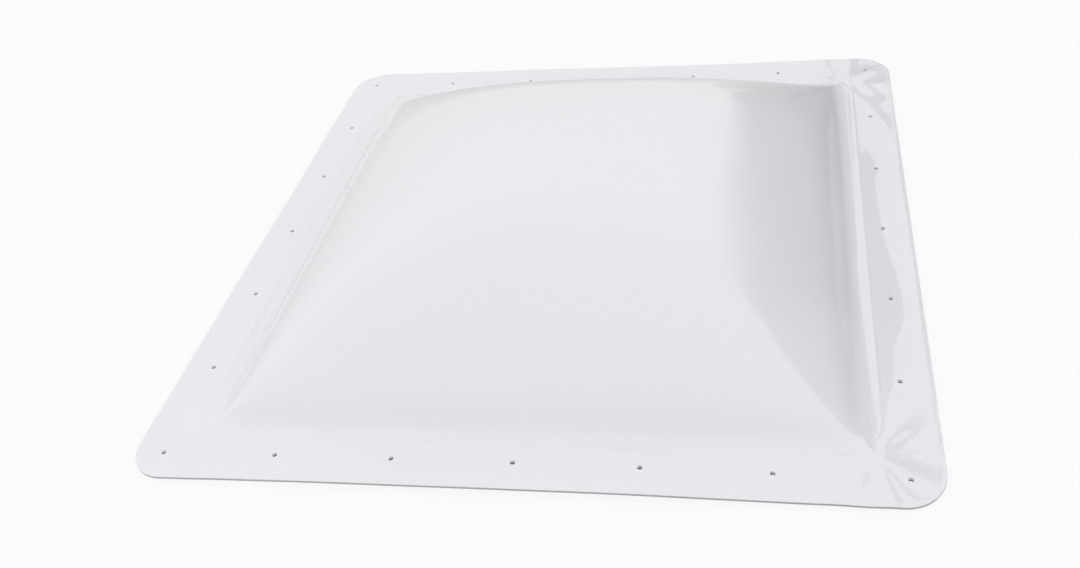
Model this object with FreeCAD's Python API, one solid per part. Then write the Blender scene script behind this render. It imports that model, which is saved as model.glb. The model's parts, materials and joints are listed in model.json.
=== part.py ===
"""Outer dome of a caravan roof skylight: one moulded opal sheet and its sealing tape.

Units are millimetres, +Z is up. The origin is at the middle of the underside, where the
sealing tape meets the roof. +X is to the right and +Y to the rear of the roof opening.
"""

import FreeCAD, Part
import os

# Flange: the flat rim of the moulding that lies on the roof, as wide as flange_width all round
flange_side = 711.2
flange_width = 53.6
flange_corner_radius = 38.1
sheet = 3.0

# Screw holes: one at each corner, the others evenly between them
hole_diameter = 4.8
hole_inset = 28.6
holes_per_side = 7

# Dome: its foot sweeps up from the flange into a wall, a shoulder and a shallow crown
dome_rise = 101.6
foot_sweep = 10.0
wall_inset = 18.0
wall_lift = 6.5
shoulder_inset = 38.0
shoulder_lift = 38.0
crown_inset = 150.0
crown_lift = 97.0

# Moulding: the sheet is drawn thinner on the wall, and thinnest at the crown
crown_sheet = 2.2
wall_draw = 1.5

# Sealing tape: butyl strips under the screw line, butted at the corners
tape_width = 19.0
tape_thickness = 3.0
tape_bulge = 0.6

# Levels and places that follow from the sizes
underside = tape_thickness
flange_top = underside + sheet
foot_half = flange_side / 2 - flange_width
hole_line = flange_side / 2 - hole_inset
hole_pitch = 2 * hole_line / (holes_per_side - 1)
tape_outer = hole_line + tape_width / 2
tape_inner = hole_line - tape_width / 2

UP = FreeCAD.Vector(0, 0, 1)
DEGREE = 3


def dome_profile(foot):
    """Give the control points of the dome's middle section, as places and shares of the rise.

    Two points lie flat at each end, so the sweep leaves the flange without a crease. The
    share at the middle is set so that the curve itself reaches the full rise.
    """
    crown_share = crown_lift / dome_rise
    middle_share = (3 - crown_share) / 2
    places = [
        foot,
        foot - foot_sweep,
        foot - wall_inset,
        foot - shoulder_inset,
        foot - crown_inset,
    ]
    shares = [0.0, 0.0, wall_lift / dome_rise, shoulder_lift / dome_rise, crown_share]
    mirrored = [-place for place in reversed(places)]
    return places + [0.0] + mirrored, shares + [middle_share] + shares[::-1]


def blend(share_x, share_y):
    """Give the share of the rise where a section across meets one from front to rear.

    The product over the union keeps both middle sections as they are, and carries the wall
    round the corners fuller than the product alone would.
    """
    product = share_x * share_y
    if product == 0:
        return 0.0
    return product / (share_x + share_y - product)


def dome_skin(foot, level, rise):
    """Make one skin of the dome as a smooth surface over the profile laid both ways."""
    places, shares = dome_profile(foot)
    poles = [
        [FreeCAD.Vector(x, y, level + rise * blend(share_x, share_y))
         for y, share_y in zip(places, shares)]
        for x, share_x in zip(places, shares)
    ]
    spans = len(places) - DEGREE
    knots = [float(knot) for knot in range(spans + 1)]
    mults = [DEGREE + 1] + [1] * (spans - 1) + [DEGREE + 1]
    surface = Part.BSplineSurface()
    surface.buildFromPolesMultsKnots(
        poles, mults, mults, knots, knots, False, False, DEGREE, DEGREE)
    return surface.toShape()


def square(half, level):
    """Make a closed square wire about the origin."""
    corners = [(-half, -half), (half, -half), (half, half), (-half, half), (-half, -half)]
    return Part.makePolygon([FreeCAD.Vector(x, y, level) for x, y in corners])


def rim_block():
    """Make the flange's outline as a plate, with its four corners rounded."""
    corner = FreeCAD.Vector(-flange_side / 2, -flange_side / 2, underside)
    plate = Part.makeBox(flange_side, flange_side, sheet, corner)
    uprights = [
        edge for edge in plate.Edges
        if abs(edge.tangentAt(edge.FirstParameter).z) > 0.5
    ]
    return plate.makeFillet(flange_corner_radius, uprights)


def screw_places():
    """Give the centre of every screw hole, round the four sides."""
    last = holes_per_side - 1
    return [
        (column * hole_pitch - hole_line, row * hole_pitch - hole_line)
        for column in range(holes_per_side)
        for row in range(holes_per_side)
        if column in (0, last) or row in (0, last)
    ]


def screw_drills():
    """Make one cylinder through the flange and the tape at each screw place."""
    radius = hole_diameter / 2
    drills = [
        Part.makeCylinder(radius, flange_top + 2 * sheet, FreeCAD.Vector(x, y, -sheet), UP)
        for x, y in screw_places()
    ]
    return Part.makeCompound(drills)


def make_dome_shell():
    """Make the moulding: flange and dome in one sheet, open underneath."""
    block = rim_block()
    outline = [
        face for face in block.Faces
        if abs(face.normalAt(0, 0).z) < 0.5
    ]
    top_wire = [face for face in block.Faces if face.normalAt(0, 0).z > 0.5][0].OuterWire
    bottom_wire = [face for face in block.Faces if face.normalAt(0, 0).z < -0.5][0].OuterWire
    inner_foot = foot_half - wall_draw
    faces = outline + [
        Part.makeFace([top_wire, square(foot_half, flange_top)], "Part::FaceMakerBullseye"),
        Part.makeFace([bottom_wire, square(inner_foot, underside)], "Part::FaceMakerBullseye"),
        dome_skin(foot_half, flange_top, dome_rise),
        dome_skin(inner_foot, underside, dome_rise + sheet - crown_sheet),
    ]
    shell = Part.makeShell(faces)
    shell.sewShape()
    moulding = Part.makeSolid(shell)
    if moulding.Volume < 0:
        moulding.reverse()
    return moulding.cut(screw_drills())


def make_tape_strip(length, centre, turned):
    """Make one strip of tape with its long edges squeezed out round, pierced for the screws."""
    half = tape_width / 2 - tape_bulge
    start = FreeCAD.Vector(-length / 2, 0, 0)
    low_front = start + FreeCAD.Vector(0, -half, 0)
    low_rear = start + FreeCAD.Vector(0, half, 0)
    top_front = low_front + UP * tape_thickness
    top_rear = low_rear + UP * tape_thickness
    middle_front = start + FreeCAD.Vector(0, -tape_width / 2, tape_thickness / 2)
    middle_rear = start + FreeCAD.Vector(0, tape_width / 2, tape_thickness / 2)
    section = Part.Wire([
        Part.LineSegment(low_front, low_rear).toShape(),
        Part.Arc(low_rear, middle_rear, top_rear).toShape(),
        Part.LineSegment(top_rear, top_front).toShape(),
        Part.Arc(top_front, middle_front, low_front).toShape(),
    ])
    strip = Part.Face(section).extrude(FreeCAD.Vector(length, 0, 0))
    if turned:
        strip.rotate(FreeCAD.Vector(0, 0, 0), UP, 90)
    strip.translate(centre)
    return strip.cut(screw_drills())


def tape_strips():
    """Make the four strips: the front and rear ones run past the ends of the side ones."""
    long_run = 2 * tape_outer
    short_run = 2 * tape_inner
    return {
        "seal_tape_front": make_tape_strip(long_run, FreeCAD.Vector(0, -hole_line, 0), False),
        "seal_tape_rear": make_tape_strip(long_run, FreeCAD.Vector(0, hole_line, 0), False),
        "seal_tape_left": make_tape_strip(short_run, FreeCAD.Vector(-hole_line, 0, 0), True),
        "seal_tape_right": make_tape_strip(short_run, FreeCAD.Vector(hole_line, 0, 0), True),
    }


def main():
    """Build every piece and write each to its own file."""
    os.makedirs("parts", exist_ok=True)
    pieces = {"dome_shell": make_dome_shell()}
    pieces.update(tape_strips())
    for name, shape in pieces.items():
        box = shape.BoundBox
        shape.exportStep("parts/" + name + ".step")
        print(name, "solids", len(shape.Solids), "volume", round(shape.Volume, 1),
              "box", round(box.XLength, 2), round(box.YLength, 2), round(box.ZLength, 2),
              "valid", shape.isValid())


main()
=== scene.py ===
"""Studio scene of a caravan roof skylight's outer dome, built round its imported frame.

Everything is in metres, +Z up, with the origin at the middle of the underside. The moulding is
one opal sheet whose shape follows a rule, so Geometry Nodes make it: a slab is laid along the
dome's middle section in both directions, rounded at the rim and then drilled. The sealing tape
under the screw line is pressed butyl, a little wavy at its edges.
"""

import json
import logging
import math
from dataclasses import dataclass, field
from enum import Enum
from functools import reduce

import bpy
from bpy.types import ID, Material, Node, NodeOutputs, NodeTree, Object
from bpy.types import NodeSocket as Socket
from mathutils import Matrix, Vector


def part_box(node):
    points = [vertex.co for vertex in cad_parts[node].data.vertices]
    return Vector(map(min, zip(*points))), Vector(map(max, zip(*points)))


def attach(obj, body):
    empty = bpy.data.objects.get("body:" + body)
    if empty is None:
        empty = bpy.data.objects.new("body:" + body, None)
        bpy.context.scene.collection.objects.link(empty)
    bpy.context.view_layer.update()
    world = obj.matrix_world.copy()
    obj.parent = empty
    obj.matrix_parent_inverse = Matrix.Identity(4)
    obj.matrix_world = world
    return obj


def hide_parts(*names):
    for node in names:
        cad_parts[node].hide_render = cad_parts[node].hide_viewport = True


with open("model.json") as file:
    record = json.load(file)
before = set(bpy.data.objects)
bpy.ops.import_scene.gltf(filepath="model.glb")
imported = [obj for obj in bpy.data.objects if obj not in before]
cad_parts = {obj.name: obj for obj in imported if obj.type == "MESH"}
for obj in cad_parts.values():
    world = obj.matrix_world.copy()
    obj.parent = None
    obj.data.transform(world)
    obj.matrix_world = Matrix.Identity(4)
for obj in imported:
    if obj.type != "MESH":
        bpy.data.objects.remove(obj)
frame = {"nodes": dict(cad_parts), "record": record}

LOG = logging.getLogger("skylight")
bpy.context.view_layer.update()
MM = 0.001
SHARP_ANGLE = math.radians(50)
WHITE = (1.0, 1.0, 1.0, 1.0)

Number = float | Socket
Triple = tuple[float, float, float]


def link_object(name: str, data: ID) -> Object:
    """Put new data in the scene as an object.

    Args:
        name: The object's name.
        data: Its mesh, curve, lamp or camera.

    Returns:
        The object.
    """
    item = bpy.data.objects.new(name, data)
    bpy.context.scene.collection.objects.link(item)
    return item


class Tree:
    """A node tree under construction, with short calls that add its nodes and join them."""

    def __init__(self, tree: NodeTree) -> None:
        """Keep the tree that the nodes go into, and its own inputs where it has any.

        Args:
            tree: The shader, world or geometry node tree to fill.
        """
        self.tree = tree
        self.given = self.add("NodeGroupInput").outputs if tree.interface.items_tree else {}

    def __getitem__(self, name: str) -> Socket:
        """Give one of the tree's own inputs by its name."""
        return self.given[name]

    def add(self, kind: str, sockets: dict | None = None, **settings: object) -> Node:
        """Add one node.

        Args:
            kind: The node's type name.
            sockets: Input sockets by name or number, each with a value or a socket to join.
            settings: Properties of the node itself.

        Returns:
            The new node.
        """
        node = self.tree.nodes.new(kind)
        for name, value in settings.items():
            setattr(node, name, value)
        for key, value in (sockets or {}).items():
            self.put(node.inputs[key], value)
        return node

    def put(self, socket: Socket, value: object) -> None:
        """Give an input socket its value, or join it to an output socket.

        Args:
            socket: The input socket.
            value: The value or the output socket.
        """
        if isinstance(value, Socket):
            self.tree.links.new(value, socket)
        else:
            socket.default_value = value

    def math(self, operation: str, *values: Number) -> Socket:
        """Add a Math node for up to three numbers and give its result."""
        kind = "ShaderNodeMath"
        return self.add(kind, dict(enumerate(values)), operation=operation).outputs[0]

    def chain(self, operation: str, *values: Number) -> Socket:
        """Join many numbers by an operation on two, from the first to the last."""
        return reduce(lambda one, other: self.math(operation, one, other), values)

    def sizes(self, spots: list[Socket]) -> list[Socket]:
        """Give the numbers without their signs."""
        return [self.math("ABSOLUTE", spot) for spot in spots]

    def span(self, legs: list[Socket]) -> Socket:
        """Give the length of the line across two legs at a right angle."""
        squares = [self.math("POWER", leg, 2.0) for leg in legs]
        return self.math("SQRT", self.math("ADD", *squares))

    def ramp(self, value: Number, start: Number, end: Number, low: Number = 0.0,
             high: Number = 1.0, smooth: bool = False) -> Socket:
        """Add a clamped Map Range node.

        Args:
            value: What is mapped.
            start: Where the result is low.
            end: Where the result is high.
            low: The result at the start.
            high: The result at the end.
            smooth: Whether the way between is an S curve.

        Returns:
            The result's socket.
        """
        way = "SMOOTHSTEP" if smooth else "LINEAR"
        sockets = {0: value, 1: start, 2: end, 3: low, 4: high}
        return self.add("ShaderNodeMapRange", sockets, interpolation_type=way).outputs[0]

    def choose(self, test: Socket, no: Number, yes: Number) -> Socket:
        """Give one number where a test doesn't hold and another where it does."""
        sockets = {"Switch": test, "False": no, "True": yes}
        return self.add("GeometryNodeSwitch", sockets, input_type="FLOAT").outputs[0]

    def less(self, one: Number, other: Number) -> Socket:
        """Test whether one number is less than another."""
        settings = {"data_type": "FLOAT", "operation": "LESS_THAN"}
        return self.add("FunctionNodeCompare", {0: one, 1: other}, **settings).outputs[0]

    def split(self, place: Socket | None = None) -> NodeOutputs:
        """Split a vector into its X, Y and Z.

        Args:
            place: The vector, or nothing for each point's own place.

        Returns:
            The three outputs by name.
        """
        if place is None:
            place = self.add("GeometryNodeInputPosition").outputs[0]
        return self.add("ShaderNodeSeparateXYZ", {0: place}).outputs

    def unevenness(self, spots: list[Socket], **sockets: Number) -> Socket:
        """Add flat noise that swings about zero.

        Args:
            spots: The X and Y places.
            sockets: The noise node's own inputs.

        Returns:
            The noise.
        """
        flat = self.add("ShaderNodeCombineXYZ", {"X": spots[0], "Y": spots[1]}).outputs[0]
        noise = self.add("ShaderNodeTexNoise", {"Vector": flat} | sockets, noise_dimensions="2D")
        return self.math("SUBTRACT", noise.outputs[0], 0.5)

    def move(self, body: Socket, spots: list[Socket], height: Socket) -> Socket:
        """Move a body's points to their places.

        Args:
            body: The body.
            spots: The X and Y places.
            height: The Z place.

        Returns:
            The moved body.
        """
        place = self.add("ShaderNodeCombineXYZ", {"X": spots[0], "Y": spots[1], "Z": height})
        sockets = {"Geometry": body, "Position": place.outputs[0]}
        return self.add("GeometryNodeSetPosition", sockets).outputs[0]

    def smooth_shade(self, body: Socket) -> Socket:
        """Shade a body smooth up to its sharp edges.

        Args:
            body: The body.

        Returns:
            The shaded body, with its instances realized.
        """
        angle = self.add("GeometryNodeInputMeshEdgeAngle").outputs["Unsigned Angle"]
        soft = self.less(angle, SHARP_ANGLE)
        smooth = self.add("GeometryNodeSetShadeSmooth", {"Geometry": body}, domain="FACE")
        sockets = {"Geometry": smooth.outputs[0], "Shade Smooth": soft}
        edges = self.add("GeometryNodeSetShadeSmooth", sockets, domain="EDGE").outputs[0]
        return self.add("GeometryNodeRealizeInstances", {0: edges}).outputs[0]

    def paint(self, body: Socket, finish: Material, where: bool | Socket = True) -> Socket:
        """Give a body's faces their finish, everywhere or where a test holds."""
        sockets = {"Geometry": body, "Selection": where, "Material": finish}
        return self.add("GeometryNodeSetMaterial", sockets).outputs[0]


class ShapeTree(Tree):
    """A geometry node tree with named number inputs, which makes one piece."""

    def __init__(self, name: str, values: dict[str, float | int]) -> None:
        """Make the tree, with a geometry input and output and its named inputs.

        Args:
            name: The tree's name.
            values: Each named input's value.
        """
        group = bpy.data.node_groups.new(name, "GeometryNodeTree")
        for way in ("INPUT", "OUTPUT"):
            group.interface.new_socket("Geometry", in_out=way, socket_type="NodeSocketGeometry")
        for label, value in values.items():
            kind = "NodeSocketInt" if isinstance(value, int) else "NodeSocketFloat"
            group.interface.new_socket(label, in_out="INPUT", socket_type=kind)
        super().__init__(group)
        self.values = values

    def run(self, source: Object, name: str) -> Object:
        """Run the tree on an object and keep its result as a plain mesh.

        Args:
            source: The object that carries the tree's input geometry, which is removed.
            name: The finished piece's name.

        Returns:
            The finished piece.
        """
        modifier = source.modifiers.new(self.tree.name, "NODES")
        modifier.node_group = self.tree
        for item in self.tree.interface.items_tree:
            if item.in_out == "INPUT" and item.name in self.values:
                modifier[item.identifier] = self.values[item.name]
        depsgraph = bpy.context.evaluated_depsgraph_get()
        result = source.evaluated_get(depsgraph)
        mesh = bpy.data.meshes.new_from_object(
            result, preserve_all_data_layers=True, depsgraph=depsgraph)
        source.modifiers.remove(modifier)
        bpy.data.objects.remove(source)
        if mesh.materials[0] is None:  # the source's own empty slot
            mesh.materials.pop(index=0)
        mesh.name = name
        return link_object(name, mesh)


@dataclass(frozen=True)
class FlangeWaves:
    """How far the flange strays from flat, and with it the tape that is pressed under it."""

    foot_half: float = 302.0 * MM
    margin: float = 10.0 * MM  # inside the foot, where the waves die out
    bead_place: float = 6.0 * MM
    front_lift: float = 4.0 * MM
    ripple: float = 3.0 * MM
    ripple_scale: float = 5.0
    gutter: float = 0.7 * MM
    pucker: float = 0.32 * MM
    pucker_turns: float = 8.0
    pucker_start: tuple[float, float] = (8.0 * MM, 30.0 * MM)
    pucker_end: tuple[float, float] = (60.0 * MM, 110.0 * MM)
    shallow_share: float = 0.25  # of the depth, at the other three corners

    def values(self) -> dict[str, float]:
        """Give the named tree inputs that the waves need."""
        return {
            "Rim Half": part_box("dome_shell")[1][0],
            "Outer Foot": self.foot_half,
            "Bead Place": self.bead_place,
            "Front Lift": self.front_lift,
            "Ripple": self.ripple,
            "Gutter": self.gutter,
            "Pucker": self.pucker,
        }

    def sag(self, tree: ShapeTree, spots: list[Socket]) -> Socket:
        """Lift the front edge a little between its corners, as the loose moulding's edge bows.

        Args:
            tree: The tree under construction.
            spots: Each point's X and Y places.

        Returns:
            The lift's height.
        """
        share = tree.math("DIVIDE", spots[0], tree["Rim Half"])
        bow = tree.math("SUBTRACT", 1.0, tree.math("POWER", tree.math("ABSOLUTE", share), 2.0))
        band = tree.math("SUBTRACT", tree["Rim Half"], tree["Outer Foot"])
        inner = tree.math("SUBTRACT", tree["Outer Foot"], band)
        front = tree.math("MULTIPLY", spots[1], -1.0)
        near = tree.ramp(front, inner, tree["Rim Half"], 0.0, tree["Front Lift"], smooth=True)
        return tree.math("MULTIPLY", bow, near)

    def ripples(self, tree: ShapeTree, spots: list[Socket]) -> Socket:
        """Give the flange the waves that a hot sheet keeps where it was clamped.

        Slow waves run along it, a shallow gutter lies between the bead and the rim, and
        puckers fan out from each corner of the dome.

        Args:
            tree: The tree under construction.
            spots: Each point's X and Y places.

        Returns:
            The waves' height.
        """
        sizes = tree.sizes(spots)
        reach = tree.math("MAXIMUM", *sizes)
        inner = tree.math("SUBTRACT", tree["Outer Foot"], self.margin)
        mask = tree.ramp(reach, inner, tree["Outer Foot"], smooth=True)
        noise = tree.unevenness(
            spots, Scale=self.ripple_scale, Detail=1.0, Roughness=0.3, Distortion=0.4)
        wave = tree.math("MULTIPLY", noise, tree["Ripple"])
        start = tree.math("ADD", tree["Outer Foot"], tree["Bead Place"])
        across = tree.ramp(reach, start, tree["Rim Half"])
        dip = tree.math("SINE", tree.math("MULTIPLY", across, math.pi))
        dip = tree.math("MULTIPLY", dip, tree["Gutter"])
        fold = self.puckers(tree, spots, sizes)
        total = tree.math("ADD", tree.math("SUBTRACT", wave, dip), fold)
        return tree.math("MULTIPLY", total, mask)

    def puckers(self, tree: ShapeTree, spots: list[Socket], sizes: list[Socket]) -> Socket:
        """Fan puckers out from the dome's corners, deepest at the front right one.

        Args:
            tree: The tree under construction.
            spots: Each point's X and Y places.
            sizes: The same without their signs.

        Returns:
            The puckers' height.
        """
        legs = [tree.math("SUBTRACT", size, tree["Outer Foot"]) for size in sizes]
        span = tree.span(legs)
        turn = tree.math("MULTIPLY", tree.math("ARCTAN2", *legs), self.pucker_turns)
        lean = tree.math("SUBTRACT", *spots)
        depth = tree.ramp(lean, 0.0, tree["Rim Half"], self.shallow_share, 1.0)
        fan = tree.math("MULTIPLY", tree.math("SINE", turn), depth)
        near = tree.ramp(span, *self.pucker_start, smooth=True)
        far = tree.ramp(span, *self.pucker_end, 1.0, 0.0, smooth=True)
        return tree.chain("MULTIPLY", near, far, tree["Pucker"], fan)


@dataclass(frozen=True)
class ScrewLine:
    """The screw holes round the flange, which go on through the tape."""

    half_side: float
    hole_radius: float = 2.4 * MM
    holes_per_side: int = 7
    bit_length: float = 16.0  # in hole radii, well past both skins
    bit_facets: int = 28

    @classmethod
    def from_frame(cls) -> "ScrewLine":
        """Take the line's place from the corner screws in the frame."""
        mounts = {mount["name"]: mount for mount in frame["record"]["mounts"]}
        return cls(mounts["screws_corners"]["dims"]["spacing_x_mm"] * MM / 2)

    def values(self) -> dict[str, float | int]:
        """Give the named tree inputs that the holes need."""
        return {
            "Hole Line": self.half_side,
            "Hole Radius": self.hole_radius,
            "Holes Per Side": self.holes_per_side,
        }

    def bits(self, tree: ShapeTree) -> Socket:
        """Stand a drill at every place of the screw line.

        Args:
            tree: The tree under construction.

        Returns:
            The drills, as one geometry.
        """
        side = tree.math("MULTIPLY", tree["Hole Line"], 2.0)
        count = tree["Holes Per Side"]
        grid = tree.add("GeometryNodeMeshGrid", {
            "Size X": side, "Size Y": side, "Vertices X": count, "Vertices Y": count,
        }).outputs["Mesh"]
        place = tree.split()
        reach = tree.math("MAXIMUM", *tree.sizes([place["X"], place["Y"]]))
        limit = tree.math("SUBTRACT", tree["Hole Line"], tree["Hole Radius"])
        inner = tree.less(reach, limit)
        ring = tree.add("GeometryNodeDeleteGeometry", {"Geometry": grid, "Selection": inner},
                        domain="POINT", mode="ALL").outputs[0]
        points = tree.add("GeometryNodeMeshToPoints", {"Mesh": ring}).outputs[0]
        depth = tree.math("MULTIPLY", tree["Hole Radius"], self.bit_length)
        bit = tree.add("GeometryNodeMeshCylinder", {
            "Vertices": self.bit_facets, "Radius": tree["Hole Radius"], "Depth": depth,
        }).outputs["Mesh"]
        bits = tree.add("GeometryNodeInstanceOnPoints", {"Points": points, "Instance": bit})
        return tree.add("GeometryNodeRealizeInstances", {0: bits.outputs[0]}).outputs[0]

    def drill(self, tree: ShapeTree, body: Socket) -> Socket:
        """Drill a body at every place of the screw line.

        Args:
            tree: The tree under construction.
            body: The closed body.

        Returns:
            The drilled body.
        """
        cut = tree.add("GeometryNodeMeshBoolean", operation="DIFFERENCE", solver="EXACT")
        tree.put(cut.inputs["Mesh 1"], body)
        tree.put(cut.inputs["Mesh 2"], self.bits(tree))
        return cut.outputs["Mesh"]


def mottle_group() -> NodeTree:
    """Make the shader group that every finish uses: faint uneven tone and a fine skin.

    Returns:
        The group, with Scale, Tone and Grain inputs and Shade and Height outputs.
    """
    group = bpy.data.node_groups.new("uneven_skin", "ShaderNodeTree")
    for label in ("Scale", "Tone", "Grain"):
        group.interface.new_socket(label, in_out="INPUT", socket_type="NodeSocketFloat")
    for label in ("Shade", "Height"):
        group.interface.new_socket(label, in_out="OUTPUT", socket_type="NodeSocketFloat")
    tree = Tree(group)
    place = tree.add("ShaderNodeTexCoord").outputs["Object"]
    clouds = {"Vector": place, "Scale": tree["Scale"], "Detail": 3.0, "Roughness": 0.55}
    cloud = tree.add("ShaderNodeTexNoise", clouds).outputs[0]
    spread = tree.math("SUBTRACT", cloud, 0.5)
    shade = tree.math("MULTIPLY_ADD", spread, tree["Tone"], 1.0)
    grains = {"Vector": place, "Scale": tree["Grain"], "Detail": 2.0}
    grain = tree.add("ShaderNodeTexNoise", grains).outputs[0]
    tree.add("NodeGroupOutput", {"Shade": shade, "Height": grain})
    return group


def bare_material(name: str) -> tuple[Material, Tree]:
    """Make a material without any node.

    Args:
        name: The material's name.

    Returns:
        The material and its empty tree.
    """
    material = bpy.data.materials.new(name)
    material.use_nodes = True
    material.node_tree.nodes.clear()
    return material, Tree(material.node_tree)


@dataclass(frozen=True)
class Finish:
    """A material that a maker would name, with the numbers its shader is built from."""

    name: str
    colour: Triple
    roughness: float
    ior: float = 1.49
    coat: float = 0.0
    coat_roughness: float = 0.01
    subsurface: float = 0.0
    subsurface_depth: float = 3.0 * MM
    mottle_scale: float = 6.0
    mottle_tone: float = 0.02
    mottle_rough: float = 0.02
    grain_scale: float = 900.0
    grain_depth: float = 0.01 * MM

    def make(self, skin: NodeTree) -> Material:
        """Build the material.

        Args:
            skin: The shared group of uneven tone and fine skin.

        Returns:
            The material.
        """
        material, tree = bare_material(self.name)
        material.diffuse_color = (*self.colour, 1.0)
        values = {"Scale": self.mottle_scale, "Tone": self.mottle_tone, "Grain": self.grain_scale}
        group = tree.add("ShaderNodeGroup", node_tree=skin)
        for label, value in values.items():
            tree.put(group.inputs[label], value)
        tint = tree.add("ShaderNodeVectorMath", {0: self.colour}, operation="SCALE")
        tree.put(tint.inputs["Scale"], group.outputs["Shade"])
        swing = tree.math("SUBTRACT", group.outputs["Shade"], 1.0)
        steps = self.mottle_rough / self.mottle_tone
        rough = tree.math("MULTIPLY_ADD", swing, steps, self.roughness)
        bump = {"Height": group.outputs["Height"], "Distance": self.grain_depth, "Strength": 1.0}
        normal = tree.add("ShaderNodeBump", bump).outputs[0]
        shader = tree.add("ShaderNodeBsdfPrincipled", {
            "Base Color": tint.outputs[0],
            "Roughness": rough,
            "Normal": normal,
            "IOR": self.ior,
            "Coat Weight": self.coat,
            "Coat Roughness": self.coat_roughness,
            "Coat IOR": self.ior,
            "Coat Normal": normal,
            "Subsurface Weight": self.subsurface,
            "Subsurface Radius": (1.0, 1.0, 1.0),
            "Subsurface Scale": self.subsurface_depth,
        })
        tree.add("ShaderNodeOutputMaterial", {"Surface": shader.outputs[0]})
        return material


OPAL_GLOSS = Finish("opal_gloss", (0.80, 0.80, 0.84), 0.28, coat=1.0, subsurface=0.1,
                    grain_depth=0.001 * MM)
# Painted shade: the upright cut rim's dark grey stands in for the shade on these faces; only its
# dull roughness is the cut's own.
CUT_EDGE_PAINTED_SHADE = Finish("cut_opal_edge_painted_shade", (0.42, 0.42, 0.43), 0.45, grain_scale=2500.0)
# Painted light: the bore's colour is paler than the sheet's own, to lift the shade inside the screw
# holes; its rough wall is real.
BORE = Finish("drilled_opal_bore_painted_light", (0.90, 0.90, 0.91), 0.5, subsurface=0.3, grain_scale=2500.0)
BUTYL = Finish("butyl_tape", (0.48, 0.48, 0.47), 0.62, ior=1.5, mottle_scale=40.0,
               mottle_tone=0.25, mottle_rough=0.1, grain_scale=1200.0, grain_depth=0.2 * MM)


class Zone(Enum):
    """The moulding's zones, each with a finish of its own."""

    SKIN = "moulded skin"
    RIM = "routed rim"
    BORE = "drilled bore"


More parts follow.
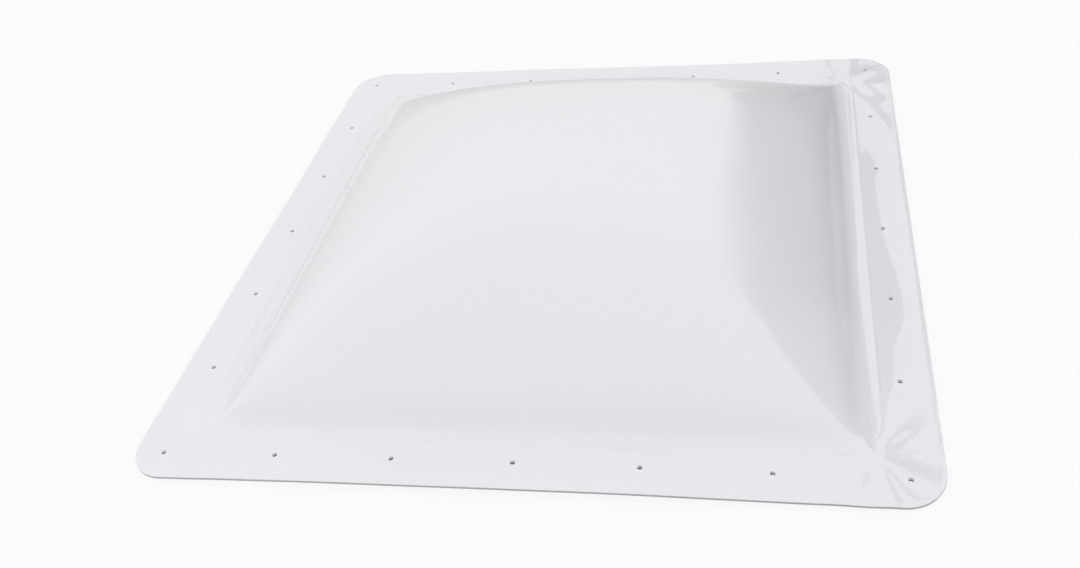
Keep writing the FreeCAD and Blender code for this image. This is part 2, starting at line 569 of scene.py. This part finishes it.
@dataclass
class DomeMoulding:
    """The one-piece moulding: flat flange, swept foot, wall, shoulder and shallow crown."""

    node: str = "dome_shell"
    corner_radius: float = 38.1 * MM
    sheet: float = 3.0 * MM
    crown_sheet: float = 2.2 * MM
    wall_draw: float = 1.5 * MM
    rise: float = 101.6 * MM
    section_insets: tuple[float, ...] = (0.0, 10 * MM, 18 * MM, 38 * MM, 150 * MM)
    section_lifts: tuple[float, ...] = (0.0, 0.0, 6.5 * MM, 38 * MM, 97 * MM)
    corner_relief: float = 0.4
    rim_ease: float = 0.5 * MM
    bead_reach: float = 12.0 * MM
    bead_width: float = 1.6 * MM
    bead_height: float = 0.35 * MM
    crown_cells: int = 30
    wall_cells: int = 54
    bead_cells: int = 10
    flange_cells: int = 10
    rim_cells: int = 4
    wall_share: float = 0.22
    curve_steps: int = 200
    steep_limit: float = 0.2
    waves: FlangeWaves = FlangeWaves()
    screws: ScrewLine = field(default_factory=ScrewLine.from_frame)
    underside: float = field(init=False)

    def __post_init__(self) -> None:
        """Read the underside's level from the frame."""
        self.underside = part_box(self.node)[0].z

    @property
    def inner_foot(self) -> float:
        """Give half the side of the inner skin's foot."""
        return self.waves.foot_half - self.wall_draw

    @property
    def inner_rise(self) -> float:
        """Give the inner skin's rise above the underside."""
        return self.rise + self.sheet - self.crown_sheet

    def section_points(self, foot: float, rise: float) -> list[tuple[float, ...]]:
        """Give the control points of a skin's middle section, as in a NURBS spline.

        The middle point stands higher than the skin, so that the curve itself reaches the rise.

        Args:
            foot: Half the side of the skin's foot.
            rise: The skin's own rise.

        Returns:
            The points from left to right, each with a weight of 1.
        """
        share = rise / self.rise
        half = [(foot - place, lift * share) for place, lift in
                zip(self.section_insets, self.section_lifts)]
        middle = (3 * rise - half[-1][1]) / 2
        right = [(-place, lift) for place, lift in half]
        left = [(place, lift) for place, lift in reversed(half)]
        return [(place, 0.0, lift, 1.0) for place, lift in right + [(0.0, middle)] + left]

    def section_curve(self) -> Object:
        """Draw the outer and the inner skin's sections as two splines of one curve object.

        Returns:
            The curve object, which the moulding tree samples.
        """
        curve = bpy.data.curves.new("dome_section", "CURVE")
        curve.dimensions = "3D"
        curve.resolution_u = self.curve_steps
        for foot, rise in ((self.waves.foot_half, self.rise), (self.inner_foot, self.inner_rise)):
            points = self.section_points(foot, rise)
            spline = curve.splines.new("NURBS")
            spline.points.add(len(points) - 1)
            for point, place in zip(spline.points, points):
                point.co = place
            spline.order_u = 4
            spline.use_endpoint_u = True
            spline.resolution_u = self.curve_steps
        return link_object("dome_section", curve)

    def moulding_tree(self, finishes: dict[Zone, Material]) -> ShapeTree:
        """Build the tree that lays a slab along the section, rounds its rim and drills it.

        Args:
            finishes: The material of each zone.

        Returns:
            The tree.
        """
        tree = ShapeTree("moulded_and_drilled", self.waves.values() | self.screws.values() | {
            "Corner Radius": self.corner_radius,
            "Inner Foot": self.inner_foot,
            "Outer Rise": self.rise,
            "Inner Rise": self.inner_rise,
            "Underside": self.underside,
            "Flange Top": self.underside + self.sheet,
            "Rim Ease": self.rim_ease,
            "Corner Relief": self.corner_relief,
            "Bead Reach": self.bead_reach,
            "Bead Width": self.bead_width,
            "Bead Height": self.bead_height,
            "Crown Cells": self.crown_cells,
            "Wall Cells": self.wall_cells,
            "Bead Cells": self.bead_cells,
            "Flange Cells": self.flange_cells,
            "Rim Cells": self.rim_cells,
            "Wall Share": self.wall_share,
        })
        laid = self.lay(tree, self.slab(tree))
        drilled = self.screws.drill(tree, laid)
        tree.add("NodeGroupOutput", {0: self.dress(tree, drilled, finishes)})
        return tree

    def slab(self, tree: ShapeTree) -> Socket:
        """Start from a closed slab of cells, one cell thick.

        Args:
            tree: The tree under construction.

        Returns:
            The slab, from -1 to 1 across and from -1 to 1 in height.
        """
        bands = ("Crown Cells", "Wall Cells", "Bead Cells", "Flange Cells", "Rim Cells")
        half = tree.chain("ADD", *[tree[band] for band in bands])
        count = tree.math("MULTIPLY_ADD", half, 2.0, 1.0)
        sockets = {"Size": (2.0, 2.0, 2.0), "Vertices X": count, "Vertices Y": count,
                   "Vertices Z": 2}
        return tree.add("GeometryNodeMeshCube", sockets).outputs["Mesh"]

    def along(self, tree: ShapeTree, step: Socket) -> tuple[Socket, Socket, Socket]:
        """Turn a slab coordinate into a share of the section and a share of the flange.

        Args:
            tree: The tree under construction.
            step: The slab coordinate, from -1 to 1.

        Returns:
            The side's sign, the share from the crown to the foot, and from there to the rim.
        """
        crown = tree["Crown Cells"]
        foot = tree.math("ADD", crown, tree["Wall Cells"])
        bead = tree.math("ADD", foot, tree["Bead Cells"])
        rim = tree.math("ADD", bead, tree["Flange Cells"])
        end = tree.math("ADD", rim, tree["Rim Cells"])
        cell = tree.math("MULTIPLY", tree.math("ABSOLUTE", step), end)
        band = tree.math("SUBTRACT", tree["Rim Half"], tree["Outer Foot"])
        bead_share = tree.math("DIVIDE", tree["Bead Reach"], band)
        rim_share = tree.math("DIVIDE", tree["Rim Ease"], band)
        flange_share = tree.math("SUBTRACT", tree.math("SUBTRACT", 1.0, rim_share), bead_share)
        crown_share = tree.math("SUBTRACT", 1.0, tree["Wall Share"])
        up = tree.math("ADD", tree.ramp(cell, 0.0, crown, 0.0, crown_share),
                       tree.ramp(cell, crown, foot, 0.0, tree["Wall Share"]))
        out = tree.chain("ADD", tree.ramp(cell, foot, bead, 0.0, bead_share),
                         tree.ramp(cell, bead, rim, 0.0, flange_share),
                         tree.ramp(cell, rim, end, 0.0, rim_share))
        return tree.math("SIGN", step), up, out

    def lay(self, tree: ShapeTree, slab: Socket) -> Socket:
        """Lay the slab along the section both ways, and round its corners and rim.

        Args:
            tree: The tree under construction.
            slab: The slab.

        Returns:
            The closed shell, before it is drilled.
        """
        split = tree.split()
        under = tree.less(split["Z"], 0.0)
        index = tree.choose(under, 0.0, 1.0)
        foot = tree.choose(under, tree["Outer Foot"], tree["Inner Foot"])
        rise = tree.choose(under, tree["Outer Rise"], tree["Inner Rise"])
        level = tree.choose(under, tree["Flange Top"], tree["Underside"])
        band = tree.math("SUBTRACT", tree["Rim Half"], foot)
        spots, heights, shares = [], [], []
        for axis in ("X", "Y"):
            side, up, out = self.along(tree, split[axis])
            factor = tree.math("MULTIPLY_ADD", tree.math("MULTIPLY", side, up), 0.5, 0.5)
            sample = tree.add("GeometryNodeSampleCurve", {
                "Curves": tree["Geometry"], "Factor": factor, "Curve Index": index,
            }, mode="FACTOR", data_type="FLOAT")
            point = tree.split(sample.outputs["Position"])
            spots.append(tree.math("ADD", point["X"], tree.chain("MULTIPLY", side, out, band)))
            heights.append(tree.math("DIVIDE", point["Z"], rise))
            shares.append(out)
        swell = tree.math("MULTIPLY", self.blend(tree, heights), rise)
        ring = tree.math("MAXIMUM", *shares)
        spots = self.round_corner(tree, spots, ring)
        height = tree.chain("ADD", swell, level, self.ease(tree, ring, under),
                            self.bead(tree, spots), self.waves.ripples(tree, spots),
                            self.waves.sag(tree, spots))
        return tree.move(slab, spots, height)

    def blend(self, tree: ShapeTree, shares: list[Socket]) -> Socket:
        """Join two sections' shares of the rise where they cross.

        Args:
            tree: The tree under construction.
            shares: The share across and the share from front to rear.

        Returns:
            Their product over their union, a little lower towards the corners.
        """
        product = tree.math("MULTIPLY", *shares)
        union = tree.math("SUBTRACT", tree.math("ADD", *shares), product)
        gaps = [tree.math("SUBTRACT", 1.0, share) for share in shares]
        relief = tree.chain("MULTIPLY", *gaps, tree["Corner Relief"])
        whole = tree.math("DIVIDE", product, union)
        return tree.math("MULTIPLY", whole, tree.math("SUBTRACT", 1.0, relief))

    def bead(self, tree: ShapeTree, spots: list[Socket]) -> Socket:
        """Raise the low bead that the clamp frame leaves on the flange round the foot.

        Args:
            tree: The tree under construction.
            spots: The X and Y places.

        Returns:
            The bead's height.
        """
        start = tree.math("SUBTRACT", tree["Outer Foot"], tree["Corner Radius"])
        legs = [tree.math("MAXIMUM", tree.math("SUBTRACT", size, start), 0.0)
                for size in tree.sizes(spots)]
        centre = tree.math("ADD", tree["Corner Radius"], tree["Bead Place"])
        off = tree.math("ABSOLUTE", tree.math("SUBTRACT", tree.span(legs), centre))
        return tree.ramp(off, 0.0, tree["Bead Width"], tree["Bead Height"], 0.0, smooth=True)

    def round_corner(self, tree: ShapeTree, spots: list[Socket], ring: Socket) -> list[Socket]:
        """Bend the flange's square rings into rounded ones, up to the full radius at the rim.

        Args:
            tree: The tree under construction.
            spots: The X and Y places.
            ring: Each point's share of the way from the foot to the rim.

        Returns:
            The new X and Y places.
        """
        radius = tree.math("MULTIPLY", tree["Corner Radius"], ring)
        sizes = tree.sizes(spots)
        centre = tree.math("SUBTRACT", tree.math("MAXIMUM", *sizes), radius)
        legs = [tree.math("SUBTRACT", size, centre) for size in sizes]
        short = tree.math("MINIMUM", *legs)
        turn = tree.math("MULTIPLY", tree.math("DIVIDE", short, radius), math.pi / 4)
        large = tree.math("MULTIPLY", radius, tree.math("COSINE", turn))
        small = tree.math("MULTIPLY", radius, tree.math("SINE", turn))
        inside = tree.less(0.0, short)
        first = tree.less(legs[1], legs[0])
        bent = [tree.choose(first, small, large), tree.choose(first, large, small)]
        result = []
        for spot, size, arc in zip(spots, sizes, bent):
            new_size = tree.choose(inside, size, tree.math("ADD", centre, arc))
            result.append(tree.math("MULTIPLY", new_size, tree.math("SIGN", spot)))
        return result

    def ease(self, tree: ShapeTree, ring: Socket, under: Socket) -> Socket:
        """Ease the rim's two edges with a small round.

        Args:
            tree: The tree under construction.
            ring: Each point's share of the way from the foot to the rim.
            under: Whether a point is on the inner skin.

        Returns:
            How far each point is lifted or lowered.
        """
        band = tree.math("SUBTRACT", tree["Rim Half"], tree["Outer Foot"])
        left = tree.math("MULTIPLY", tree.math("SUBTRACT", 1.0, ring), band)
        within = tree.ramp(left, 0.0, tree["Rim Ease"], 1.0, 0.0)
        drop = tree.math("SQRT", tree.math("SUBTRACT", 1.0, tree.math("POWER", within, 2.0)))
        fall = tree.math("MULTIPLY", tree.math("SUBTRACT", drop, 1.0), tree["Rim Ease"])
        return tree.choose(under, fall, tree.math("MULTIPLY", fall, -1.0))

    def dress(self, tree: ShapeTree, shell: Socket,
              finishes: dict[Zone, Material]) -> Socket:
        """Shade the shell smooth up to its sharp edges and give each zone its finish.

        Args:
            tree: The tree under construction.
            shell: The drilled shell.
            finishes: The material of each zone.

        Returns:
            The finished geometry.
        """
        real = tree.smooth_shade(shell)
        normal = tree.add("GeometryNodeInputNormal").outputs[0]
        upright = tree.math("ABSOLUTE", tree.split(normal)["Z"])
        steep = tree.less(upright, self.steep_limit)
        place = tree.split()
        reach = tree.math("MAXIMUM", *tree.sizes([place["X"], place["Y"]]))
        limit = tree.math("MULTIPLY_ADD", tree["Hole Radius"], 2.0, tree["Hole Line"])
        within = tree.less(reach, limit)
        both = tree.add("FunctionNodeBooleanMath", {0: steep, 1: within}, operation="AND")
        whole = tree.paint(real, finishes[Zone.SKIN])
        # The upright rim faces get the dark grey of painted shade.
        rim_shade_painted = tree.paint(whole, finishes[Zone.RIM], steep)
        # The bores get the pale colour of painted light.
        return tree.paint(rim_shade_painted, finishes[Zone.BORE], both.outputs[0])

    def build(self, finishes: dict[Zone, Material]) -> Object:
        """Make the moulding, in place of its CAD solid.

        Args:
            finishes: The material of each zone.

        Returns:
            The finished piece.
        """
        section = self.section_curve()
        piece = self.moulding_tree(finishes).run(section, "opal_dome")
        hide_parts(self.node)
        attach(piece, "root")
        return piece


@dataclass(frozen=True)
class TapeStrip:
    """A butyl strip, pressed under the flange and squeezed out unevenly along its edges."""

    node: str
    screws: ScrewLine
    waves: FlangeWaves = FlangeWaves()
    bulge: float = 0.6 * MM
    squeeze: float = 1.6 * MM
    squeeze_scale: float = 38.0
    fade: float = 14.0 * MM
    cell: float = 3.0 * MM
    side_cells: int = 6

    def strip_tree(self, butyl: Material) -> ShapeTree:
        """Build the tree that presses a slab into the strip and drills it.

        Args:
            butyl: The tape's finish.

        Returns:
            The tree.
        """
        low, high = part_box(self.node)
        size = high - low
        turned = size.y > size.x
        length, width = (size.y, size.x) if turned else (size.x, size.y)
        tree = ShapeTree("pressed_strip", self.waves.values() | self.screws.values() | {
            "Centre X": (low.x + high.x) / 2,
            "Centre Y": (low.y + high.y) / 2,
            "Half Length": length / 2,
            "Half Width": width / 2,
            "Thickness": size.z,
            "Turned": 1.0 if turned else 0.0,
            "Bulge": self.bulge,
            "Squeeze": self.squeeze,
            "Squeeze Scale": self.squeeze_scale,
            "Fade": self.fade,
            "Length Cells": round(length / self.cell),
            "Side Cells": self.side_cells,
        })
        drilled = self.screws.drill(tree, self.press(tree))
        tree.add("NodeGroupOutput", {0: tree.paint(tree.smooth_shade(drilled), butyl)})
        return tree

    def press(self, tree: ShapeTree) -> Socket:
        """Press a slab of cells between the roof and the waved flange.

        Args:
            tree: The tree under construction.

        Returns:
            The closed strip, before it is drilled.
        """
        side = tree.math("ADD", tree["Side Cells"], 1.0)
        count = tree.math("ADD", tree["Length Cells"], 1.0)
        slab = tree.add("GeometryNodeMeshCube", {
            "Size": (2.0, 2.0, 2.0), "Vertices X": count, "Vertices Y": side, "Vertices Z": side,
        }).outputs["Mesh"]
        split = tree.split()
        along = tree.math("MULTIPLY", split["X"], tree["Half Length"])
        level = tree.math("ABSOLUTE", split["Z"])
        flank = tree.math("SUBTRACT", 1.0, tree.math("POWER", level, 2.0))
        half = tree.math("MULTIPLY_ADD", flank, tree["Bulge"],
                         tree.math("SUBTRACT", tree["Half Width"], tree["Bulge"]))
        across = tree.math("MULTIPLY", split["Y"], half)
        noise = tree.unevenness(self.spots(tree, along, across), Scale=tree["Squeeze Scale"],
                                Detail=2.0, Roughness=0.5)
        inner_end = tree.math("SUBTRACT", tree["Hole Line"], tree["Half Width"])
        start = tree.math("SUBTRACT", inner_end, tree["Fade"])
        free = tree.ramp(tree.math("ABSOLUTE", along), start, inner_end, 1.0, 0.0, smooth=True)
        push = tree.chain("MULTIPLY", noise, tree["Squeeze"], free, split["Y"])
        spots = self.spots(tree, along, tree.math("ADD", across, push))
        share = tree.math("MULTIPLY_ADD", split["Z"], 0.5, 0.5)
        top = tree.math("ADD", tree["Thickness"], self.waves.ripples(tree, spots))
        height = tree.math("ADD", tree.math("MULTIPLY", share, top), self.waves.sag(tree, spots))
        return tree.move(slab, spots, height)

    def spots(self, tree: ShapeTree, along: Socket, across: Socket) -> list[Socket]:
        """Turn a place on the strip into one on the roof.

        Args:
            tree: The tree under construction.
            along: The place along the strip.
            across: The place across the strip.

        Returns:
            The X and Y places.
        """
        turned = tree.less(0.5, tree["Turned"])
        back = tree.math("MULTIPLY", across, -1.0)
        return [tree.math("ADD", tree.choose(turned, along, back), tree["Centre X"]),
                tree.math("ADD", tree.choose(turned, across, along), tree["Centre Y"])]

    def build(self, butyl: Material) -> Object:
        """Make the strip, in place of its CAD solid.

        Args:
            butyl: The tape's finish.

        Returns:
            The finished piece.
        """
        name = self.node + "_start"
        start = link_object(name, bpy.data.meshes.new(name))
        piece = self.strip_tree(butyl).run(start, self.node.replace("seal_tape", "butyl_strip"))
        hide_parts(self.node)
        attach(piece, "root")
        return piece


@dataclass(frozen=True)
class Softbox:
    """A rectangular studio lamp that faces a point."""

    name: str
    place: Triple
    aim: Triple
    width: float
    depth: float
    watts: float
    mirrored: bool = False

    def hang(self) -> Object:
        """Hang the lamp and turn it to its aim.

        Returns:
            The lamp's object.
        """
        data = bpy.data.lights.new(self.name, "AREA")
        data.shape = "RECTANGLE"
        data.size = self.width
        data.size_y = self.depth
        data.energy = self.watts
        lamp = link_object(self.name, data)
        lamp.location = self.place
        lamp.visible_glossy = self.mirrored
        way = Vector(self.aim) - Vector(self.place)
        lamp.rotation_euler = way.to_track_quat("-Z", "Y").to_euler()
        return lamp


@dataclass(frozen=True)
class Viewpoint:
    """The camera's place, given by its direction from the object and its picture centre."""

    azimuth: float
    elevation: float
    roll: float
    distance: float
    target: Triple
    focal_px: float
    centre_px: tuple[float, float]
    picture_px: tuple[int, int] = (1080, 568)
    sensor_mm: float = 36.0

    def place(self) -> Object:
        """Set up the camera.

        Returns:
            The camera's object.
        """
        turn, rise, roll = (math.radians(a) for a in (self.azimuth, self.elevation, self.roll))
        back = Vector((math.sin(turn) * math.cos(rise), -math.cos(turn) * math.cos(rise),
                       math.sin(rise)))
        level = Vector((math.cos(turn), math.sin(turn), 0.0))
        upright = back.cross(level)
        right = level * math.cos(roll) + upright * math.sin(roll)
        up = upright * math.cos(roll) - level * math.sin(roll)
        width, height = self.picture_px
        data = bpy.data.cameras.new("photo_camera")
        data.sensor_fit = "HORIZONTAL"
        data.sensor_width = self.sensor_mm
        data.lens = self.focal_px * self.sensor_mm / width
        data.shift_x = (width / 2 - self.centre_px[0]) / width
        data.shift_y = (self.centre_px[1] - height / 2) / width
        camera = link_object("photo_camera", data)
        spot = Vector(self.target) + back * self.distance
        turned = Matrix((right, up, back)).transposed().to_4x4()
        camera.matrix_world = Matrix.Translation(spot) @ turned
        bpy.context.scene.camera = camera
        return camera


class Seen(Enum):
    """The kinds of ray that meet the plain white background."""

    CAMERA = "Is Camera Ray"
    GLOSSY = "Is Glossy Ray"
    TRANSMISSION = "Is Transmission Ray"


def seen_mask(tree: Tree) -> Socket:
    """Give 1 for the rays that show the background and 0 for those that only carry light."""
    path = tree.add("ShaderNodeLightPath").outputs
    return tree.chain("MAXIMUM", *[path[kind.value] for kind in Seen])


def flat_sheet(name: str, corners: list[Triple | Vector], material: Material) -> Object:
    """Make a thin four-cornered sheet of the studio.

    Args:
        name: The sheet's name.
        corners: Its corners in order.
        material: Its material.

    Returns:
        The sheet's object.
    """
    mesh = bpy.data.meshes.new(name)
    mesh.from_pydata(corners, [], [(0, 1, 2, 3)])
    mesh.materials.append(material)
    return link_object(name, mesh)


@dataclass(frozen=True)
class Card:
    """A flat reflector card near the object, which only its reflections see.

    It starts at its corner, its glow is even along one side and changes along the other.
    """

    name: str
    corner: Triple
    along: Triple
    rise: Triple
    glow_start: float
    glow_end: float

    def stand(self) -> Object:
        """Put the card in its place.

        Returns:
            The card's object.
        """
        material, tree = bare_material(self.name)
        along, rise = Vector(self.along), Vector(self.rise)
        place = tree.add("ShaderNodeTexCoord").outputs["Object"]
        way = rise - rise.project(along)
        share = tree.add("ShaderNodeVectorMath", {0: place, 1: way}, operation="DOT_PRODUCT")
        glow = tree.ramp(share.outputs["Value"], 0.0, way.length_squared,
                         self.glow_start, self.glow_end)
        light = tree.add("ShaderNodeEmission", {"Color": WHITE, "Strength": glow})
        tree.add("ShaderNodeOutputMaterial", {"Surface": light.outputs[0]})
        card = flat_sheet(self.name, [Vector(), along, along + rise, rise], material)
        card.location = self.corner
        card.visible_camera = False
        card.visible_diffuse = False
        card.visible_shadow = False
        return card


NEAR_WALL = 0.415  # where the upright cards stand, just outside the flange on the right


@dataclass
class Studio:
    """The plain pale floor, the world's light, the softboxes and the reflector cards."""

    floor_size: float = 12.0
    floor_tone: float = 0.80
    floor_white: float = 0.88
    floor_gap: float = 0.2 * MM
    ambient: float = 0.40
    cards: tuple[Card, ...] = (
        # Upright on the right: the grey of the flange and of the dome on that side
        Card("far_card", (1.32, -3.0, 0.0), (0.0, 33.0, 0.0), (0.0, 0.0, 2.1), 0.25, 0.25),
        Card("near_card", (NEAR_WALL, 0.0, 0.0), (0.0, 0.0, 0.4), (0.0, 0.45, 0.0), 0.05, 0.33),
        Card("near_end_card", (NEAR_WALL, 0.45, 0.0), (0.0, 0.0, 0.4), (0.0, 1.65, 0.0), 0.33, 0.5),
        Card("foot_card", (NEAR_WALL - MM, 0.22, 0.0), (0.0, 0.8, 0.0), (0.0, 0.0, 0.12), 0.05, 0.3),
        Card("lens_card", (NEAR_WALL, 0.2, 0.4), (0.0, 0.65, 0.0), (0.0, 0.0, 0.1), 0.05, 0.05),
        Card("fold_card", (NEAR_WALL, 0.0, 0.4), (0.0, 0.2, 0.0), (0.0, 0.0, 0.1), 0.35, 0.35),
        # Over them: that grey's soft end on the dome, and the dark patch at the rear right
        Card("soft_card", (0.30, -0.03, 0.185), (0.0, 1.55, -0.06), (0.0, 0.0, 0.17), 0.25, 1.3),
        Card("crown_card", (0.302, 0.70, 0.29), (0.0, 0.75, 0.0), (0.0, 0.0, 0.34), 1.1, 1.25),
        Card("corner_card", (NEAR_WALL, 1.33, 0.5), (0.0, 0.8, 0.0), (0.0, 0.0, 0.45), 0.05, 0.05),
        # Behind: a bright slope that greys towards its right edge
        Card("rear_card", (-9.0, 2.2, 0.0), (9.15, 0.0, 0.0), (1.12, 0.0, 1.99), 0.9, 1.5),
        Card("rear_edge_card", (0.15, 2.2, 0.0), (1.12, 0.0, 1.99), (0.4, 0.0, 0.0), 1.0, 0.25),
        # On the floor: what the wall's foot and the flange's waves mirror
        Card("rear_low_card", (-0.38, 0.36, 0.0005), (1.7, 0.0, 0.0), (0.0, 0.5, 0.0), 0.66, 0.9),
        Card("left_low_card", (-0.36, -0.35, 0.0003), (0.0, 1.3, 0.0), (-0.5, 0.0, 0.0), 0.74, 0.9),
        Card("rear_right_card", (0.15, 0.36, 0.001), (1.17, 0.0, 0.0), (0.0, 29.0, 0.0), 0.25, 0.25),
        Card("rear_blend_card", (0.15, 0.36, 0.0012), (0.0, 29.0, 0.0), (0.3, 0.0, 0.0), 0.7, 0.25),
        Card("right_low_card", (0.37, -0.6, 0.0015), (0.0, 2.8, 0.0), (0.95, 0.0, 0.0), 0.3, 0.2),
    )
    boxes: tuple[Softbox, ...] = (
        Softbox("overhead_softbox", (-3.35, 4.0, 2.0), (-3.35, 4.0, 0.0), 9.3, 20.0, 300.0, True),
        Softbox("front_softbox", (-0.7, -1.9, 1.0), (0.0, 0.0, 0.05), 1.2, 1.2, 4.5),
        Softbox("right_softbox", (2.0, -0.2, 1.0), (0.0, 0.0, 0.05), 1.2, 1.2, 11.0),
    )

    def world(self) -> None:
        """Light the world evenly and show it white behind the object."""
        world = bpy.data.worlds.new("studio_world")
        world.use_nodes = True
        world.node_tree.nodes.clear()
        tree = Tree(world.node_tree)
        strength = tree.ramp(seen_mask(tree), 0.0, 1.0, self.ambient, 1.0)
        light = tree.add("ShaderNodeBackground", {"Color": WHITE, "Strength": strength})
        tree.add("ShaderNodeOutputWorld", {"Surface": light.outputs[0]})
        bpy.context.scene.world = world

    def floor(self) -> Object:
        """Lay the floor, white to the eye but with the object's shadow on it.

        Returns:
            The floor's object.
        """
        material, tree = bare_material("studio_floor")
        tone = (self.floor_tone, self.floor_tone, self.floor_tone, 1.0)
        matt = tree.add("ShaderNodeBsdfDiffuse", {"Color": tone}).outputs[0]
        white = tree.add("ShaderNodeEmission", {"Color": WHITE, "Strength": 1.0})
        share = tree.math("MULTIPLY", seen_mask(tree), self.floor_white)
        mixed = tree.add("ShaderNodeMixShader", {0: share, 1: matt, 2: white.outputs[0]})
        tree.add("ShaderNodeOutputMaterial", {"Surface": mixed.outputs[0]})
        half = self.floor_size / 2
        signs = ((-1, -1), (1, -1), (1, 1), (-1, 1))
        corners = [(x * half, y * half, -self.floor_gap) for x, y in signs]
        floor = flat_sheet("studio_floor", corners, material)
        return floor

    def build(self) -> None:
        """Set up the floor, the world, the cards and the lamps."""
        self.world()
        self.floor()
        for card in self.cards:
            card.stand()
        for box in self.boxes:
            box.hang()


PHOTO_VIEW = Viewpoint(azimuth=13.32, elevation=39.85, roll=-8.39, distance=1055.3 * MM,
                       target=(39.4 * MM, -86.7 * MM, 6.0 * MM), focal_px=1036.3,
                       centre_px=(597.2, 281.3))


def main() -> None:
    """Build the skylight's pieces in order, then the studio and the camera."""
    logging.basicConfig(level=logging.INFO, format="%(name)s: %(message)s")
    bpy.context.scene.view_settings.view_transform = "Standard"
    skin = mottle_group()
    looks = {Zone.SKIN: OPAL_GLOSS, Zone.RIM: CUT_EDGE_PAINTED_SHADE, Zone.BORE: BORE}
    moulding = DomeMoulding()
    pieces = [moulding.build({zone: look.make(skin) for zone, look in looks.items()})]
    butyl = BUTYL.make(skin)
    strips = [name for name in frame["nodes"] if name.startswith("seal_tape")]
    pieces += [TapeStrip(name, moulding.screws).build(butyl) for name in strips]
    for piece in pieces:
        LOG.info("%s has %d faces", piece.name, len(piece.data.polygons))
    Studio().build()
    PHOTO_VIEW.place()


if __name__ == "__main__":
    main()
